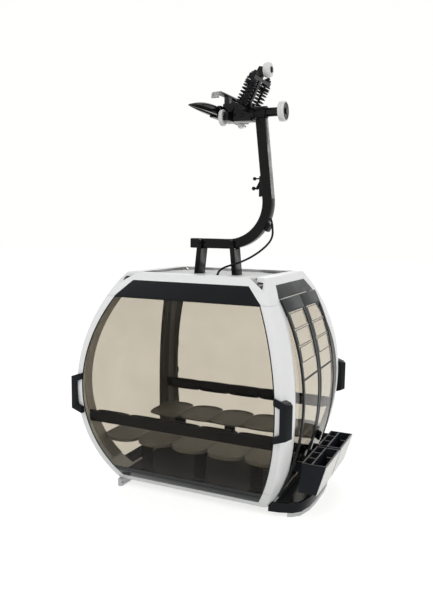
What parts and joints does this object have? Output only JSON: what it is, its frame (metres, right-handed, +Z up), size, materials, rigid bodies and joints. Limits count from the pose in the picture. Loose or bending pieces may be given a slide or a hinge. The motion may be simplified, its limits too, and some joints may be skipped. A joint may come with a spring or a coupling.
{
  "type": "cable car cabin",
  "caption": "Scale-model gondola cabin with curved smoked windows, sliding door leaves, ski racks, bent hanger arm and spring-loaded rope grip.",
  "frame": {"origin": "middle of the rope in the grip's jaws", "axes": "+Y along the rope, +X across the cabin to its doors, +Z up"},
  "size_m": [0.3154, 0.2556, 0.5382],
  "materials": {
    "white_nylon": "moulded, slightly translucent white",
    "grey_disc": "dark grey turned disc",
    "spring_steel": "black oxide wire",
    "bright_steel": "bare worn steel",
    "black_metal": "gloss black lacquer",
    "hanger_paint": "satin black lacquer",
    "black_rubber": "matt black",
    "white_shell": "gloss white moulding",
    "roof_grey": "pale grey satin moulding",
    "gloss_black": "gloss black",
    "door_black": "dark grey satin",
    "smoked_glass": "smoked beige clear plastic",
    "floor_black": "black studded floor",
    "seat_brown": "grey-brown moulded seats",
    "back_pad": "black padded band",
    "bumper_black": "satin black",
    "silver_runner": "satin silver",
    "silver_cover": "pale silver",
    "rack_black": "matt black"
  },
  "bodies": {
    "grip": {"fixed_jaw": "black_metal", "moving_jaw": "black_metal", "tongue_front": "black_metal", "tongue_rear": "black_metal", "grip_frame": "black_metal", "grip_axle": "black_metal", "clamp_lever": "black_metal", "spring_front": "spring_steel", "spring_rear": "spring_steel", "spring_rods": "black_metal", "friction_plate": "bright_steel"},
    "outer_wheel": {"outer_wheel_tyre": "white_nylon", "outer_wheel_disc": "grey_disc"},
    "running_wheel_a": {"running_wheel_front": "white_nylon"},
    "running_wheel_b": {"running_wheel_rear": "white_nylon"},
    "roller": {"lever_roller": "white_nylon"},
    "cabin": {"hanger_head": "hanger_paint", "hanger_arm": "hanger_paint", "hanger_posts": "hanger_paint", "release_lever": "hanger_paint", "cable_clamp": "black_rubber", "door_cable": "black_rubber", "cable_gland": "black_rubber", "roof_cap": "white_shell", "roof_deck": "roof_grey", "header_front": "gloss_black", "header_rear": "gloss_black", "headers_side": "door_black", "pillar_front_left": "white_shell", "pillar_front_right": "white_shell", "pillar_rear_left": "white_shell", "pillar_rear_right": "white_shell", "pillar_linings": "door_black", "window_front": "smoked_glass", "window_rear": "smoked_glass", "window_left": "smoked_glass", "side_glass_front": "smoked_glass", "side_glass_rear": "smoked_glass", "sill_strips": "gloss_black", "bottom_frame": "white_shell", "floor_pan": "floor_black", "bench_front": "seat_brown", "bench_rear": "seat_brown", "backrest_front": "back_pad", "backrest_rear": "back_pad", "bumpers": "bumper_black", "door_tray": "gloss_black", "runners": "silver_runner"},
    "front_leaf": {"door_frame_front": "door_black", "door_glass_front": "smoked_glass", "rack_front": "rack_black", "rack_cover_front": "silver_cover"},
    "rear_leaf": {"door_frame_rear": "door_black", "door_glass_rear": "smoked_glass", "rack_rear": "rack_black", "rack_cover_rear": "silver_cover"}
  },
  "joints": [
    {"name": "grip_pivot", "type": "hinge", "parent": "grip", "child": "cabin", "pos_m": [0.0555, 0, 0.002], "axis": [1, 0, 0], "range_deg": [-20, 20]},
    {"name": "door_slide", "type": "slide", "parent": "cabin", "child": "rear_leaf", "axis": [0, 1, 0], "range_m": [0, 0.042]},
    {"name": "front_door_slide", "type": "slide", "parent": "cabin", "child": "front_leaf", "axis": [0, -1, 0], "range_m": [0, 0.042]},
    {"name": "outer_wheel_spin", "type": "hinge", "parent": "grip", "child": "outer_wheel", "pos_m": [0.084, 0, 0.002], "axis": [1, 0, 0], "continuous": true},
    {"name": "running_wheel_a_spin", "type": "hinge", "parent": "grip", "child": "running_wheel_a", "pos_m": [0.0128, -0.02, -0.005], "axis": [1, 0, 0], "continuous": true},
    {"name": "running_wheel_b_spin", "type": "hinge", "parent": "grip", "child": "running_wheel_b", "pos_m": [0.0128, 0.038, 0], "axis": [1, 0, 0], "continuous": true},
    {"name": "roller_spin", "type": "hinge", "parent": "grip", "child": "roller", "pos_m": [0.0633, 0, 0.052], "axis": [1, 0, 0], "continuous": true}
  ],
  "couplings": [
    {"joint": "front_door_slide", "follows": "door_slide", "ratio": 1}
  ]
}
